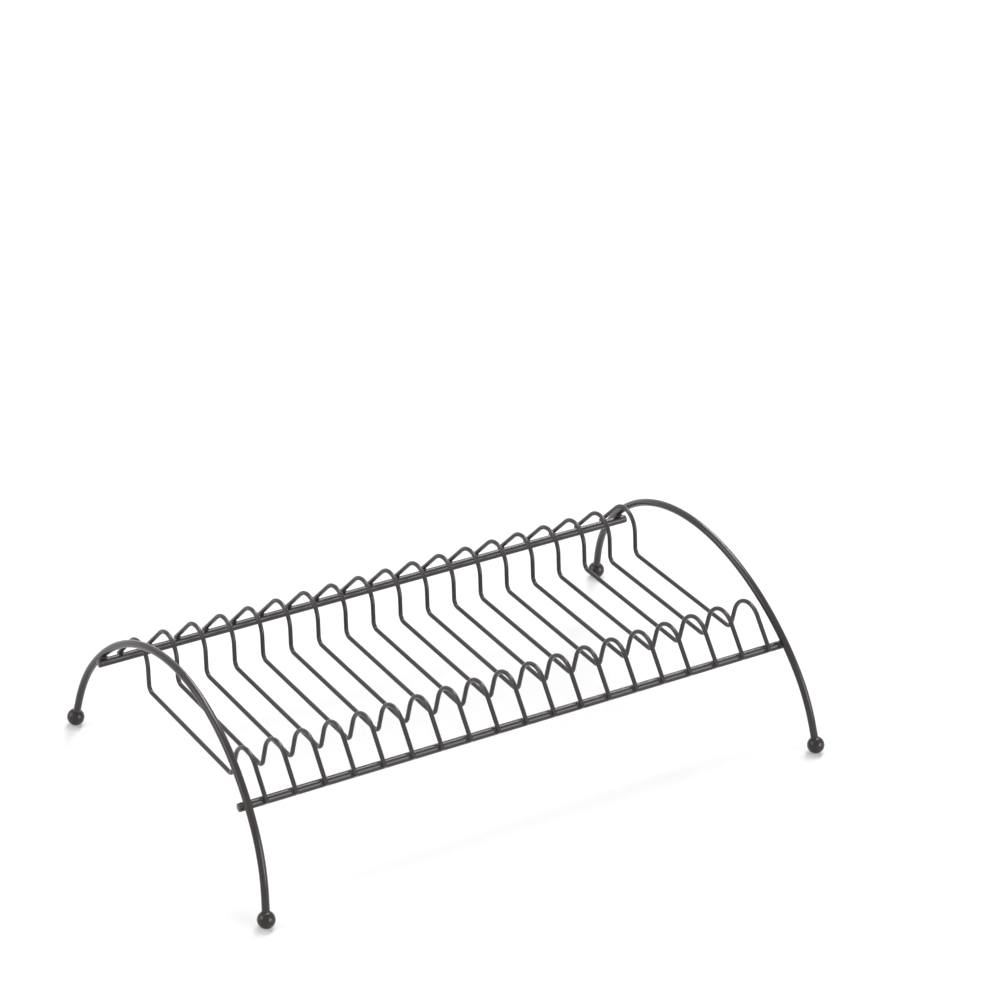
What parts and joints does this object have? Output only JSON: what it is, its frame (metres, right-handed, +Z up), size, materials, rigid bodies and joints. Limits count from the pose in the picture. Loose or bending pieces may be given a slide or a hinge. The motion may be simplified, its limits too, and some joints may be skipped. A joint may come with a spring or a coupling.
{
  "type": "dish drying rack",
  "caption": "Low wire rack for drying plates: two long rails, two arched end frames on ball feet, and a row of bent divider wires with a hoop above each rail.",
  "frame": {"origin": "centre of the footprint at floor level, under the middle of the rack", "axes": "+X along the rack's length and rails, from the left arch to the right arch; +Y from the front rail to the rear rail; +Z up"},
  "size_m": [0.3, 0.2024, 0.081],
  "materials": {
    "rail_coat": "satin dark grey powder coat on steel rod",
    "arch_coat": "satin dark grey powder coat on steel rod",
    "foot_coat": "satin dark grey powder coat on steel ball",
    "wire_coat": "satin dark grey powder coat on steel wire"
  },
  "bodies": {
    "root": {"front_rail": "rail_coat", "rear_rail": "rail_coat", "left_arch": "arch_coat", "right_arch": "arch_coat", "foot_front_left": "foot_coat", "foot_front_right": "foot_coat", "foot_rear_left": "foot_coat", "foot_rear_right": "foot_coat", "divider_01": "wire_coat", "divider_02": "wire_coat", "divider_03": "wire_coat", "divider_04": "wire_coat", "divider_05": "wire_coat", "divider_06": "wire_coat", "divider_07": "wire_coat", "divider_08": "wire_coat", "divider_09": "wire_coat", "divider_10": "wire_coat", "divider_11": "wire_coat", "divider_12": "wire_coat", "divider_13": "wire_coat", "divider_14": "wire_coat", "divider_15": "wire_coat", "divider_16": "wire_coat", "divider_17": "wire_coat", "divider_18": "wire_coat", "divider_19": "wire_coat"}
  },
  "joints": []
}
